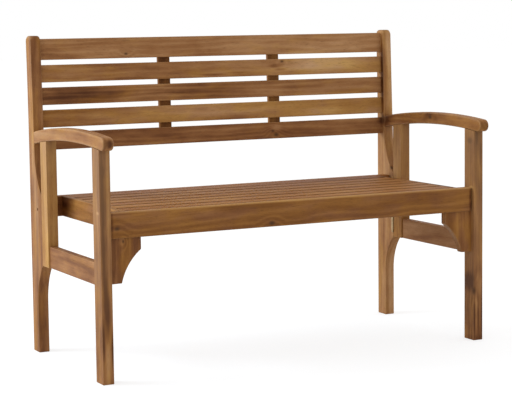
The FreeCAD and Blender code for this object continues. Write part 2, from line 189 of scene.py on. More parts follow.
def carried(outline, along, low, high, rim, steps=4):
    """Closed board: an outline carried straight along an axis from low to high.

    Near both ends the outline draws in by rim (1 - cos a) while it still has rim (1 - sin a) to
    go, for a from 0 to a right angle, which rounds the edges. One more ring in the flat end and
    one on the straight side keep the flat faces flat. The rim may differ from point to point.
    """
    outline = np.asarray(outline, float)
    following = np.roll(outline, -1, 0)
    if (outline[:, 0] * following[:, 1] - outline[:, 1] * following[:, 0]).sum() < 0:
        outline = outline[::-1]
        rim = rim[::-1] if isinstance(rim, np.ndarray) else rim
    rim = np.broadcast_to(np.asarray(rim, float), len(outline))
    side = unit(np.roll(outline, -1, 0) - outline)
    across = np.stack([-side[:, 1], side[:, 0]], 1)
    inward = unit(across + np.roll(across, 1, 0))
    inward = inward / np.maximum((inward * across).sum(1, keepdims=True), 0.5)
    angle = np.linspace(math.pi / 2, 0, steps + 1)
    draw = np.concatenate([[1.12], 1 - np.cos(angle), [0]])[:, None] * rim
    travel = np.concatenate([[0], 1 - np.sin(angle), [1.5]])[:, None] * rim
    rings = outline + inward * draw[..., None]
    lower = np.concatenate([rings, (low + travel)[..., None]], 2)
    upper = np.concatenate([rings, (high - travel)[..., None]], 2)[::-1]
    grid = np.concatenate([lower, upper])
    rows, columns = grid.shape[:2]
    points = np.empty((rows * columns, 3))
    points[:, [(along + 1) % 3, (along + 2) % 3, along]] = grid.reshape(-1, 3)
    count = rows * columns
    ends = [list(range(columns))[::-1], list(range(count - columns, count))]
    return points, grid_faces(rows, columns) + ends


def straight_board(low, high, along, radii=edge, rim=1.2):
    """A board between two corners: its rounded section, carried along its length."""
    one, two = (along + 1) % 3, (along + 2) % 3
    corners = [
        (low[one], low[two]), (high[one], low[two]), (high[one], high[two]), (low[one], high[two]),
    ]
    return carried(softened(corners, radii), along, low[along], high[along], rim)


def turned(profile, along, centre, sides=28, facing=1):
    """A turned piece: (radius, height) pairs carried round an axis through centre.

    A point is (radius cos a, radius sin a, facing height), with a going once round.
    """
    radius, height = np.asarray(profile, float).T
    angle = np.linspace(0, 2 * math.pi, sides, endpoint=False)
    flat = radius[:, None, None] * np.stack([np.cos(angle), np.sin(angle)], -1)
    rise = np.broadcast_to(height[:, None, None] * facing, flat.shape[:2] + (1,))
    points = np.empty((len(radius) * sides, 3))
    axes = [(along + 1) % 3, (along + 2) % 3, along]
    points[:, axes] = np.concatenate([flat, rise], 2).reshape(-1, 3)
    return points + np.asarray(centre), grid_faces(len(radius), sides)


def screw_head(along, centre, facing):
    """A countersunk head with a cross recess.

    The crown is 0.25 (1 - (r / 3.2)^2) high. It sinks by 1.1 where the point is within 0.45 of one
    of the two crossed lines and within 1.85 of the middle, less and less over the next 0.3, and
    the cone runs down below it.
    """
    widest = 3.2
    radius = np.array([0, 0.35, 0.7, 1.0, 1.3, 1.6, 1.9, 2.2, 2.6, 3.0, widest, widest, 1.7, 0.0])
    crown = 0.25 * (1 - (radius / widest) ** 2)
    crown[-3:] = (-0.2, -1.8, -1.8)
    sides = 32
    points, faces = turned(np.stack([radius, crown], 1), 2, (0, 0, 0), sides)
    flat = np.abs(points[:, :2])
    arm = np.clip((0.75 - flat.min(1)) / 0.3, 0, 1) * np.clip((2.15 - flat.max(1)) / 0.3, 0, 1)
    top = np.repeat(np.arange(len(radius)) < len(radius) - 3, sides)
    points[:, 2] -= 1.1 * arm * top
    placed = np.empty_like(points)
    placed[:, [(along + 1) % 3, (along + 2) % 3, along]] = points * (1, 1, facing)
    return placed + np.asarray(centre), faces


def mirrored(shape):
    """The same shape on the other side of the bench."""
    points, faces = shape
    return points * (-1, 1, 1), faces


def leaned(shape):
    """A shape of the back rest, turned by the lean about the foot of the posts' straight front."""
    points, faces = shape
    x, y, z = points.T
    back = y * math.cos(lean) + z * math.sin(lean) + neck_front
    up = z * math.cos(lean) - y * math.sin(lean) + neck_level
    return np.stack([x, back, up], 1), faces


# Outlines
def post_outline():
    """Side of a back post: foot, hollow curve, waist, hollow neck, leaning head, bent rear."""
    foot_low = rail_low - foot_curve * math.sin(foot_sweep)
    foot = arc((foot_front - foot_curve, foot_low), foot_curve, 0, foot_sweep, 16)
    bend = np.linspace(neck_sweep, lean, 20)
    neck_y = neck_centre + neck_curve * np.cos(bend)
    neck_z = neck_level + neck_curve * (math.sin(lean) - np.sin(bend))
    neck = np.stack([neck_y, neck_z], 1)
    rise = overall_height - neck_level
    head_front = (neck_front + rise * math.tan(lean), overall_height)
    drop = half_depth - post_rear
    bow = (rise**2 + drop**2) / (2 * drop)
    sweep = np.linspace(math.asin(rise / bow), 0, 14)[1:]
    rear = np.stack([post_rear + bow * (1 - np.cos(sweep)), neck_level + bow * np.sin(sweep)], 1)
    corners = np.concatenate([
        [(foot_front, 0)], foot, neck,
        [head_front, (half_depth, overall_height)], rear, [(post_rear, 0)],
    ])
    radii = np.zeros(len(corners))
    radii[[0, len(foot), len(foot) + 1, -1]] = edge * 1.15
    head = 1 + len(foot) + len(neck)
    radii[[head, head + 1]] = head_round
    return softened(corners, radii)


def armrest_outline():
    """Side of an armrest: two arcs about one centre, a half-round nose, an end inside the post.

    The nose turns through the front, where the cosine is negative.
    """
    middle = (arch_outer + arch_inner) / 2
    nose = (arch_outer - arch_inner) / 2
    reach = arch_centre[0] + half_depth
    front = math.atan2(nose, middle) - math.asin(reach / math.hypot(middle, nose))
    rear = math.asin((post_rear - arch_centre[0]) / middle)
    upper = arc(arch_centre, arch_outer, math.pi / 2 - front, math.pi / 2 - rear, 40)
    lower = arc(arch_centre, arch_inner, math.pi / 2 - rear, math.pi / 2 - front, 40)
    tip = np.asarray(arch_centre) + middle * np.array([math.sin(front), math.cos(front)])
    round_nose = arc(tip, nose, 1.5 * math.pi - front, math.pi / 2 - front, 22)[1:-1]
    return np.concatenate([upper, lower, round_nose])


def bracket_outline():
    """Front of a bracket as (height, x): upright tip, one hollow arc, short foot; and its rim.

    The rim is wide along the free edges, and narrow where the bracket meets the leg and the seat.
    """
    near, far = inner_face, inner_face - bracket_reach
    tip = np.array([far, bracket_top - bracket_tip])
    foot = np.array([near - bracket_foot, bracket_low])
    chord = foot - tip
    length = math.hypot(*chord)
    hollow = np.array([-chord[1], chord[0]]) / length
    sag = bracket_hollow - math.sqrt(bracket_hollow**2 - (length / 2) ** 2)
    centre = (tip + foot) / 2 + hollow * (sag - bracket_hollow)
    start = math.atan2(*(tip - centre)[::-1])
    end = math.atan2(*(foot - centre)[::-1])
    curve = arc(centre, bracket_hollow, start, end, 18)
    top = [(near, bracket_top), (far, bracket_top)]
    corners = np.concatenate([top, curve, [(near, bracket_low)]])
    radii = np.zeros(len(corners))
    radii[[1, 2, len(corners) - 2]] = bracket_round
    radii[[0, -1]] = 0.5
    outline = softened(corners, radii)
    free = (outline[:, 0] < near - 1) & (outline[:, 1] < bracket_top - 1)
    return outline[:, ::-1], np.where(free, bracket_ease, 0.4)


def back_slat_spans():
    """Lower and upper edge of each back slat along the lean, from the top slat down."""
    top = (overall_height - top_slat_drop - neck_level) / math.cos(lean)
    widths = np.asarray(slat_widths)
    upper = top - np.concatenate([[0], np.cumsum(widths + slat_gap)[:-1]])
    return list(zip(upper - widths, upper))


def seat_slat_spans():
    """Front and rear edge of each seat slat, shared out between the front and the rear rail."""
    first = front_rail[1] + seat_edge_gap
    pitch = (rear_rail[0] - seat_edge_gap - first + seat_slat_gap) / seat_slats
    fronts = first + pitch * np.arange(seat_slats)
    return list(zip(fronts, fronts + pitch - seat_slat_gap))


# Meshes
def new_mesh(name, shapes):
    """One mesh in metres from closed shapes, its doubles merged and its faces turned outwards."""
    counts = [len(points) for points, _ in shapes]
    starts = np.concatenate([[0], np.cumsum(counts)[:-1]]).tolist()
    groups = zip(starts, (faces for _, faces in shapes))
    faces = [[corner + start for corner in face] for start, group in groups for face in group]
    mesh = bpy.data.meshes.new(name)
    mesh.from_pydata(np.concatenate([points for points, _ in shapes]) * MILLIMETRE, [], faces)
    work = bmesh.new()
    work.from_mesh(mesh)
    bmesh.ops.remove_doubles(work, verts=work.verts, dist=1e-6)
    bmesh.ops.recalc_face_normals(work, faces=work.faces)
    work.to_mesh(mesh)
    work.free()
    return mesh


def trimmed(mesh, place, away):
    """The mesh cut off by a plane through place, on the side that away points to, and closed."""
    work = bmesh.new()
    work.from_mesh(mesh)
    everything = work.verts[:] + work.edges[:] + work.faces[:]
    corner = [value * MILLIMETRE for value in place]
    cut = bmesh.ops.bisect_plane(
        work, geom=everything, plane_co=corner, plane_no=away, clear_outer=True
    )
    rim = [part for part in cut["geom_cut"] if isinstance(part, bmesh.types.BMEdge)]
    bmesh.ops.edgeloop_fill(work, edges=rim)
    bmesh.ops.recalc_face_normals(work, faces=work.faces)
    work.to_mesh(mesh)
    work.free()
    return mesh


def hollowed(mesh, shapes):
    """The mesh less the given shapes, such as a bore or the shallow seat of a hinge leaf."""
    body = bpy.data.objects.new("blank", mesh)
    tool = bpy.data.objects.new("cutter", new_mesh("cutter", shapes))
    for item in (body, tool):
        bpy.context.scene.collection.objects.link(item)
    cut = body.modifiers.new("cut", "BOOLEAN")
    cut.operation = "DIFFERENCE"
    cut.solver = "EXACT"
    cut.object = tool
    graph = bpy.context.evaluated_depsgraph_get()
    result = bpy.data.meshes.new_from_object(body.evaluated_get(graph))
    tool_mesh = tool.data
    for item in (body, tool):
        bpy.data.objects.remove(item)
    bpy.data.meshes.remove(tool_mesh)
    return result


def new_piece(name, mesh, body, nodes, finish):
    """The finished object, smooth but for sharp corners, on its body and in place of its nodes."""
    mesh.name = name
    mesh.shade_smooth()
    mesh.set_sharp_from_angle(angle=sharp_angle)
    mesh.materials.clear()
    mesh.materials.append(finish)
    piece = bpy.data.objects.new(name, mesh)
    bpy.context.scene.collection.objects.link(piece)
    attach(piece, body)
    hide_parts(*nodes)
    return piece


# Finishes
class Socket:
    """A shader socket that takes part in Python sums; each operation adds one Math node."""

    def __init__(self, finish, link):
        self.finish = finish
        self.link = link

    def __add__(self, other):
        return self.finish.math("ADD", self, other)

    def __radd__(self, other):
        return self.finish.math("ADD", other, self)

    def __sub__(self, other):
        return self.finish.math("SUBTRACT", self, other)

    def __rsub__(self, other):
        return self.finish.math("SUBTRACT", other, self)

    def __mul__(self, other):
        return self.finish.math("MULTIPLY", self, other)

    def __rmul__(self, other):
        return self.finish.math("MULTIPLY", other, self)

    def __pow__(self, other):
        return self.finish.math("POWER", self, other)


class Finish:
    """The node tree of one material or of the world."""

    def __init__(self, holder):
        self.holder = holder
        holder.use_nodes = True
        self.tree = holder.node_tree
        self.tree.nodes.clear()

    def node(self, kind, settings=None, sockets=None, output=0):
        """A node of any kind: its settings first, then the values or links of its sockets."""
        made = self.tree.nodes.new(kind)
        for key, value in (settings or {}).items():
            if key == "stops":
                for index, (place, colour) in enumerate(value):
                    stops = made.color_ramp.elements
                    stop = stops[index] if index < len(stops) else stops.new(place)
                    stop.position = place
                    stop.color = (*colour, 1)
            else:
                setattr(made, key, value)
        for key, value in (sockets or {}).items():
            if isinstance(value, Socket):
                self.tree.links.new(value.link, made.inputs[key])
            else:
                made.inputs[key].default_value = value
        return Socket(self, made.outputs[output]) if made.outputs else made

    def math(self, operation, *values):
        """One Math node."""
        return self.node("ShaderNodeMath", {"operation": operation}, dict(enumerate(values)))

    def vector(self, operation, *values, output=0):
        """One Vector Math node; its output 1 is a number, such as a length."""
        settings = {"operation": operation}
        return self.node("ShaderNodeVectorMath", settings, dict(enumerate(values)), output)

    def between(self, value, low, high):
        """0 below low, 1 above high, smooth between."""
        settings = {"interpolation_type": "SMOOTHSTEP"}
        sockets = {0: value, 1: low, 2: high, 3: 0.0, 4: 1.0}
        return self.node("ShaderNodeMapRange", settings, sockets)

    def noise(self, place, stretch, detail=2.0, roughness=0.5, output=0):
        """Soft noise, from 0 to 1 about 0.5; stretch is its waves per metre along each axis."""
        place = self.vector("MULTIPLY", place, stretch)
        sockets = {"Vector": place, "Scale": 1.0, "Detail": detail, "Roughness": roughness}
        return self.node("ShaderNodeTexNoise", {"noise_dimensions": "3D"}, sockets, output)

    def mix(self, share, one, two, blend="MIX"):
        """Two colours mixed by share."""
        colours = [(*value, 1) if isinstance(value, tuple) else value for value in (one, two)]
        settings = {"data_type": "RGBA", "blend_type": blend}
        return self.node("ShaderNodeMix", settings, {0: share, 6: colours[0], 7: colours[1]}, 2)

    def attribute(self, name, output):
        """An attribute of the mesh: its output 1 is a vector, 2 a number."""
        return self.node("ShaderNodeAttribute", {"attribute_name": name}, {}, output)

    def surface(self, constants, **links):
        """The principled surface, with its fixed values on its own sockets, into the output."""
        sockets = {key.replace("_", " "): value for key, value in links.items()}
        shader = self.node("ShaderNodeBsdfPrincipled", None, {**constants, **sockets})
        self.node("ShaderNodeOutputMaterial", None, {"Surface": shader})


# Knots: place in the bench, radius, and the axis of the grain, along which they are drawn out
knots = (
    ((-544, -243, 405), 7.0, 0),
    ((-91, -243, 389), 7.5, 0),
    ((-300, 257, 844), 5.0, 0),
    ((212, 255, 810), 5.0, 0),
    ((185, 247, 588), 7.5, 0),
    ((174, 248, 600), 5.0, 0),
    ((564, -24, 641), 7.5, 1),
    ((565, -252, 146), 9.0, 2),
    ((568, 200, 470), 6.5, 2),
    ((-526, -239, 370), 4.0, 2),
)

# Heartwood (above 0) and sapwood (below 0), with painted shade (above 0) and a painted highlight
# (below 0) among them: the middle of each patch, its half sizes in x, y and z, and how much it
# darkens the board. The painted ones are marked below.
heartwood_and_painted_light = (
    ((-430, 252, 722), (190, 40, 22), 0.28),
    ((-535, 255, 806), (80, 40, 24), 0.25),
    ((-330, 255, 800), (240, 40, 30), 0.15),
    ((120, 247, 588), (620, 40, 30), 0.10),
    ((-470, 247, 640), (200, 40, 16), 0.15),
    ((300, 257, 862), (420, 40, 40), -0.50),
    ((370, 255, 798), (170, 40, 30), -1.30),
    ((120, 255, 795), (300, 40, 40), -0.25),
    ((190, 255, 797), (34, 20, 7), 0.90),
    ((207, 255, 786), (26, 20, 5), 0.70),
    ((-25, 255, 776), (50, 20, 5), 0.80),
    ((60, 255, 781), (50, 20, 4), 0.50),
    ((330, 255, 792), (40, 20, 14), -0.50),
    ((270, 252, 730), (120, 20, 9), 0.50),
    ((-120, 252, 729), (140, 20, 8), 0.40),
    ((187, 248, 610), (22, 20, 13), -0.60),
    ((100, 250, 668), (560, 40, 40), -0.50),
    ((340, 249, 656), (110, 30, 20), -0.35),
    ((350, 248, 605), (300, 40, 40), -0.20),
    # Painted shade, over some real dark stain, where the right armrest meets the post.
    ((572, 236, 618), (32, 40, 19), 1.50),
    # Painted shade: a dark line on the right post's inner face in front of the back slats.
    ((564, 247, 765), (3.2, 11, 180), 1.40),
    ((592, 245, 765), (25, 80, 300), -0.90),
    ((588, 235, 110), (24, 30, 170), -0.85),
    ((564, -230, 172), (14, 32, 36), 1.10),
    ((582, -254, 168), (12, 12, 40), -0.50),
    ((567, -254, 70), (3.5, 14, 80), 0.90),
    ((573, -254, 80), (4, 14, 85), -0.70),
    ((581, -254, 65), (3.5, 14, 65), 0.60),
    ((593, -254, 90), (5, 14, 110), 0.90),
    ((580, -240, 4), (40, 40, 14), 0.35),
    ((566, 160, 550), (8, 45, 150), -0.70),
    # More painted shade, over some real dark stain, on the right armrest by the post.
    ((575, 205, 640), (30, 50, 30), 0.50),
    ((579, -240, 590), (40, 40, 60), 0.30),
    ((566, -232, 583), (8, 16, 12), 0.70),
    ((574, -254, 600), (6, 14, 34), 0.70),
    ((588, -254, 545), (6, 14, 45), 0.60),
    ((564, -18, 646), (9, 26, 12), 0.55),
    ((-588, -252, 430), (6, 40, 260), 0.85),
    ((-587, -253, 556), (7, 12, 18), 0.70),
    ((-573, -252, 500), (6, 30, 240), -0.70),
    ((-580, -252, 200), (11, 40, 110), 0.90),
    ((-591, -252, 115), (5, 30, 70), 1.10),
    ((-567, -252, 95), (4, 30, 65), 1.00),
    ((-579, -252, 50), (10, 30, 90), -1.00),
    # Painted shade on the front of the left post's foot.
    ((-580, 231, 110), (40, 30, 150), 0.35),
    ((-576, -281, 628), (11, 12, 13), 1.10),
    ((592, -280, 622), (8, 14, 16), 0.80),
    # Painted shade at both ends of the seat's front rail, beside the legs.
    ((559, -243, 413), (6, 20, 60), 0.80),
    ((-559, -243, 413), (6, 20, 60), 0.50),
    # Painted shade in the seat's rear left corner.
    ((-530, 195, 420), (32, 60, 45), 0.90),
    # Painted highlight along the top of the seat's front rail.
    ((0, -238, 448), (2500, 13, 6), -1.00),
    # These two darken the seat's top towards the rear rail.
    ((330, 185, 448), (330, 50, 14), 0.90),
    ((-250, 190, 448), (300, 40, 14), 0.35),
)


def acacia_finish():
    """Oiled acacia: growth rings about a heart line outside each board, streaks, pores, knots, and
    some painted shade and painted highlights.
    """
    wood = Finish(bpy.data.materials.new("oiled_acacia"))
    grain = wood.attribute("grain", 1)
    board = wood.attribute("board", 1)
    end = wood.attribute("end", 2)
    wear_and_highlight = wood.attribute("wear_and_highlight", 2)
    figure = wood.attribute("figure", 2)
    place = wood.node("ShaderNodeTexCoord", None, None, 3)
    tone = wood.node("ShaderNodeSeparateXYZ", None, {0: board}, 0)
    red = wood.node("ShaderNodeSeparateXYZ", None, {0: board}, 1)
    gold = wood.node("ShaderNodeSeparateXYZ", None, {0: board}, 2)

    knot = 0.0
    swirl = 0.0
    for middle, radius, axis in knots:
        centre = tuple(value * MILLIMETRE for value in middle)
        scale = [1000 / radius] * 3
        scale[axis] /= 1.5
        apart = wood.vector("SUBTRACT", place, centre)
        apart = wood.vector("LENGTH", wood.vector("MULTIPLY", apart, tuple(scale)), output=1)
        knot = knot + (1 - wood.between(apart, 0.1, 1.25))
        swirl = swirl + (1 - wood.between(apart, 0.0, 5.0))
    # Patches of darker and paler wood, and the painted shade and painted highlight among them.
    dark = 0.0
    for middle, size, depth in heartwood_and_painted_light:
        centre = tuple(value * MILLIMETRE for value in middle)
        apart = wood.vector("SUBTRACT", place, centre)
        apart = wood.vector("MULTIPLY", apart, tuple(1000 / value for value in size))
        dark = dark + (1 - wood.between(wood.vector("LENGTH", apart, output=1), 0.2, 1.15)) * depth

    sway = wood.vector("SUBTRACT", wood.noise(grain, (4.0, 18, 18), 1.0, 0.5, 1), (0.5, 0.5, 0.5))
    wavy = wood.vector("ADD", grain, wood.vector("MULTIPLY", sway, (0.0, 0.016, 0.016)))
    drift = wood.noise(grain, (1.5, 10, 10), 2.0)
    across = wood.vector("MULTIPLY", wavy, (0.0, 1.0, 1.0))
    radius = wood.vector("LENGTH", across, output=1)
    ring = radius * 75.0 + drift * 4.0 + swirl * 1.2
    bands = (wood.math("SINE", ring * (2 * math.pi)) * 0.5 + 0.5) ** 1.7
    streak = wood.noise(wavy, (3.0, 42, 42), 3.0, 0.6)
    cloud = wood.noise(wavy, (4.5, 17, 17), 2.0)
    warm = wood.noise(wavy, (5.5, 30, 30), 2.0)
    mottle = wood.noise(wavy, (15, 34, 34), 2.0)
    fibre = wood.noise(grain, (11, 480, 480), 2.0, 0.6)
    pores = wood.between(wood.noise(grain, (60, 1500, 1500), 1.0), 0.60, 0.72)

    marks = (cloud - 0.5) * 0.60 + (streak - 0.5) * 0.80 + (mottle - 0.5) * 0.42
    level = tone + marks * figure + (bands - 0.4) * 0.12 + (fibre - 0.5) * 0.20 - dark * 0.45
    stops = (
        (0.040, (0.085, 0.027, 0.008)),
        (0.272, (0.205, 0.078, 0.022)),
        (0.464, (0.325, 0.140, 0.041)),
        (0.760, (0.480, 0.245, 0.088)),
        (1.000, (0.610, 0.350, 0.150)),
    )
    colour = wood.node("ShaderNodeValToRGB", {"stops": stops}, {0: level * 0.8})
    colour = wood.mix(red, colour, (0.34, 0.110, 0.034))
    golden = wood.between(warm * 0.6 + mottle * 0.4 + gold, 0.38, 0.62)
    tint = wood.mix(golden, (0.99, 1.045, 1.28), (1.01, 1.045, 0.84))
    colour = wood.mix(1.0, colour, tint, "MULTIPLY")
    colour = wood.mix(pores * 0.45, colour, (0.050, 0.020, 0.009))
    # Rounded edges lightened: partly wear, partly a painted highlight.
    colour = wood.mix(wear_and_highlight * 0.26, colour, (0.48, 0.29, 0.14))
    # end darkens the end grain, and the sides of the seat slats as painted shade in the gaps
    # between them.
    colour = wood.mix(end * 0.45, colour, (0.100, 0.043, 0.017))
    colour = wood.mix(wood.math("MINIMUM", knot, 1.0) * 0.75, colour, (0.048, 0.024, 0.012))

    rough = 0.56 + (fibre - 0.5) * 0.22 + pores * 0.15 + end * 0.15 - wear_and_highlight * 0.05
    height = fibre * 0.5 + bands * 0.25 - pores * 0.8 - knot * 0.3
    sockets = {"Strength": 0.35, "Distance": 0.0004, "Height": height}
    bump = wood.node("ShaderNodeBump", None, sockets)
    constants = {"Specular IOR Level": 0.12, "IOR": 1.45}
    wood.surface(constants, Base_Color=colour, Roughness=rough, Normal=bump)
    return wood.holder


def steel_finish(name, bright, tint, roughness):
    """Plated steel: drawn lines, soft mottling of the plating, dull tarnish in places."""
    steel = Finish(bpy.data.materials.new(name))
    place = steel.node("ShaderNodeTexCoord", None, None, 3)
    lines = steel.noise(place, (500, 500, 6000), 2.0)
    mottle = steel.noise(place, (220, 220, 220), 3.0, 0.6)
    stain = steel.between(steel.noise(place, (90, 90, 90), 3.0, 0.65), 0.52, 0.72)
    colour = steel.mix(steel.between(mottle, 0.3, 0.7), bright, tint)
    colour = steel.mix(stain * 0.55, colour, (0.16, 0.105, 0.06))
    rough = roughness + (mottle - 0.5) * 0.2 + (lines - 0.5) * 0.15 + stain * 0.2
    height = lines * 0.4 + mottle * 0.6
    sockets = {"Strength": 0.2, "Distance": 0.0001, "Height": height}
    bump = steel.node("ShaderNodeBump", None, sockets)
    metal = 1 - stain * 0.35
    steel.surface({"IOR": 1.5}, Base_Color=colour, Roughness=rough, Metallic=metal, Normal=bump)
    return steel.holder


acacia = acacia_finish()
hinge_steel = steel_finish("hinge_plating", (0.54, 0.41, 0.23), (0.42, 0.31, 0.17), 0.46)
pin_steel = steel_finish("pin_plain_steel", (0.42, 0.40, 0.38), (0.33, 0.31, 0.29), 0.42)
screw_steel = steel_finish("screw_plating", (0.60, 0.57, 0.50), (0.50, 0.46, 0.38), 0.34)

# How light each board is, and how golden rather than pink; boards that aren't named are 0.52 and 0
board_tones = {
    "back_slat_1": (0.67, -0.12),
    "back_slat_2": (0.65, -0.04),
    "back_slat_3": (0.53, -0.08),
    "back_slat_4": (0.68, 0.05),
    "back_slat_5": (0.46, -0.10),
    "left_back_post": (0.43, -0.04),
    "right_back_post": (0.62, -0.06),
    "left_rear_upright": (0.71, 0.08),
    "right_rear_upright": (0.53, 0.12),
    "left_armrest": (0.55, -0.08),
    "right_armrest": (0.52, 0.05),
    "left_lower_rail": (0.46, -0.10),
    "right_lower_rail": (0.62, -0.28),
    "left_front_leg": (0.45, -0.04),
    "right_front_leg": (0.46, -0.02),
    "left_seat_bracket": (0.31, -0.05),
    "right_seat_bracket": (0.38, 0.05),
    "left_seat_rail": (0.50, 0.06),
    "left_back_batten": (0.34, 0.20),
    "right_back_batten": (0.34, 0.20),
    # Dark as painted shade along the seat's right edge.
    "right_seat_rail": (0.22, 0.0),
    "seat_front_rail": (0.43, 0.05),
    "seat_slat_1": (0.60, 0.10),
    "seat_slat_2": (0.68, 0.10),
    "seat_slat_3": (0.60, 0.10),
    "seat_slat_4": (0.68, 0.10),
    "seat_slat_5": (0.60, 0.10),
    "seat_slat_6": (0.62, 0.10),
    "seat_slat_7": (0.48, 0.10),
    "seat_rear_rail": (0.38, 0.10),
}

# How much redder some boards are than the rest, and how much of the marked figure plain ones have
ruddy_boards = {"seat_slat_%d" % number: 0.30 for number in range(1, seat_slats + 1)}
ruddy_boards["seat_rear_rail"] = 0.30
plain_boards = {"seat_front_rail": 0.45}


def wooden_piece(name, mesh, body, along, shaped=False, narrow=None):
    """A wooden piece with the attributes that its finish reads.

    grain is the place in the board with the length first, tilted a little and moved so that the
    heart line runs beside the board. end is 1 where the surface faces along the grain, which
    darkens the end grain, and 2 where it faces along the narrow axis of a seat slat, which darkens
    the
    slat's sides as painted shade in the gaps between the slats. worn is 1 on the rounded edges:
    2 |n| sqrt(1 - n^2) of the normal's part across a shaped board, or twice what its fourth powers
    lack of 1 on a straight one; the finish lightens these edges, partly as wear and partly as a
    painted highlight. figure is how marked the figure is.
    """
    count = len(mesh.vertices)
    place = np.empty(count * 3)
    facing = np.empty(count * 3)
    mesh.vertices.foreach_get("co", place)
    mesh.vertices.foreach_get("normal", facing)
    place = place.reshape(-1, 3)
    facing = facing.reshape(-1, 3)
    luck = np.random.default_rng([ord(letter) for letter in name])
    grain = np.roll(place, -along, 1)
    grain = grain - grain.mean(0)
    grain[:, 1:] += grain[:, :1] * luck.uniform(-0.02, 0.02, 2)
    heart = luck.uniform(0, 2 * math.pi)
    grain += (luck.uniform(0, 50), 0.055 * math.cos(heart), 0.055 * math.sin(heart))
    end = np.clip((np.abs(facing[:, along]) - 0.65) / 0.3, 0, 1)
    # Painted shade: the sides of a seat slat face the gaps between slats, and end makes them dark.
    if narrow is not None:
        sides = np.clip((np.abs(facing[:, narrow]) - 0.1) / 0.3, 0, 1)
        end = np.maximum(end, 2 * sides)
    # The rounded edges, which the finish lightens partly as wear and partly as a painted
    # highlight.
    if shaped:
        wear_and_highlight = 2 * np.abs(facing[:, 0]) * np.sqrt(np.clip(1 - facing[:, 0] ** 2, 0, 1))
    else:
        wear_and_highlight = 2 * (1 - (facing**4).sum(1))
    tone, gold = board_tones.get(name, (0.52, 0.0))
    tone += luck.uniform(-0.03, 0.03)
    red = luck.uniform(0.02, 0.12) + ruddy_boards.get(name, 0.0)
    board = np.broadcast_to((tone, red, gold), (count, 3))
    figure = np.full(count, plain_boards.get(name, 1.0))
    for label, kind, field, values in (
        ("grain", "FLOAT_VECTOR", "vector", grain),
        ("board", "FLOAT_VECTOR", "vector", board),
        ("end", "FLOAT", "value", end),
        ("figure", "FLOAT", "value", figure),
        ("wear_and_highlight", "FLOAT", "value", np.clip(wear_and_highlight, 0, 1)),
    ):
        layer = mesh.attributes.new(label, kind, "POINT")
        layer.data.foreach_set(field, np.ascontiguousarray(values, np.float32).ravel())
    return new_piece(name + ".board", mesh, body, [name], acacia)


# Back
def leaf_seats(side):
    """The seats of the hinge leaves in the meeting face of a post or upright.

    Each is deeper at the barrel, and starts outside the face so that it cuts clean through it.
    """
    outside, near, far = inner_face - 5, inner_face + barrel_depth, leaf_far + joint_lap
    depths = (
        (outside, -1), (far, -1), (far, leaf_deep),
        (near, leaf_deep), (near, barrel_seat), (outside, barrel_seat),
    )
    outline = [(x, hinge_line + side * depth) for x, depth in depths]
    reach = hinge_half + joint_lap
    levels = hinge_levels.values()
    return [carried(outline, 2, level - reach, level + reach, 0.05, 1) for level in levels]


def write_posts():
    """Both back posts, with the bore of the pivot pin and the seats of the hinge leaves.

    The ease of the edges grows towards the head as t^2 (3 - 2t) of the rise t.
    """
    outline = post_outline()
    rise = np.clip((outline[:, 1] - head_ease_start) / head_ease_run, 0, 1)
    rim = edge + (head_ease - edge) * rise * rise * (3 - 2 * rise)
    rim = np.where(outline[:, 1] < 1, foot_ease, rim)
    post = carried(outline, 0, inner_face, half_width, rim)
    profile = [(0, 0), (pivot_bore, 0), (pivot_bore, bore_length), (0, bore_length)]
    cuts = [turned(profile, 0, (bore_start, pivot_y, pivot_level), 32)] + leaf_seats(1)
    for name, turn in (("right", tuple), ("left", mirrored)):
        mesh = hollowed(new_mesh("post", [turn(post)]), [turn(cut) for cut in cuts])
        wooden_piece(name + "_back_post", mesh, "frame", 2, True)


def write_back():
    """The back slats, and the battens behind them with their screws."""
    spans = back_slat_spans()
    for number, (under, top) in enumerate(spans, 1):
        low, high = (-inner_face, slat_front, under), (inner_face, slat_rear, top)
        slat = straight_board(low, high, 0, edge, 0.15)
        wooden_piece("back_slat_%d" % number, new_mesh("slat", [leaned(slat)]), "frame", 0)
    screws = []
    for side, middle in batten_middles.items():
        low = (middle - batten_half, slat_rear, spans[-1][0] + batten_end)
        high = (middle + batten_half, batten_rear, spans[0][1] - batten_end)
        batten = straight_board(low, high, 2, batten_ease, 1.5)
        wooden_piece(side + "_back_batten", new_mesh("batten", [leaned(batten)]), "frame", 2)
        for span in spans:
            screws.append(leaned(screw_head(1, (middle, batten_rear, sum(span) / 2), 1)))
    mesh = new_mesh("screws", screws)
    new_piece("batten_screws.heads", mesh, "frame", ["batten_screws"], screw_steel)


# Arm frames
def arch_under(y):
    """Height of the armrest's underside."""
    return arch_centre[1] + math.sqrt(arch_inner**2 - (y - arch_centre[0]) ** 2)


def support(front, rear, bottom):
    """A leg or upright, longer than needed, and the plane that cuts its top along the armrest."""
    low, high = (inner_face, front, bottom), (half_width, rear, support_blank_top)
    slope = (arch_under(rear) - arch_under(front)) / (rear - front)
    place = (0, front, arch_under(front) + joint_lap)
    return straight_board(low, high, 2, edge, 1.6), place, (0, -slope, 1)


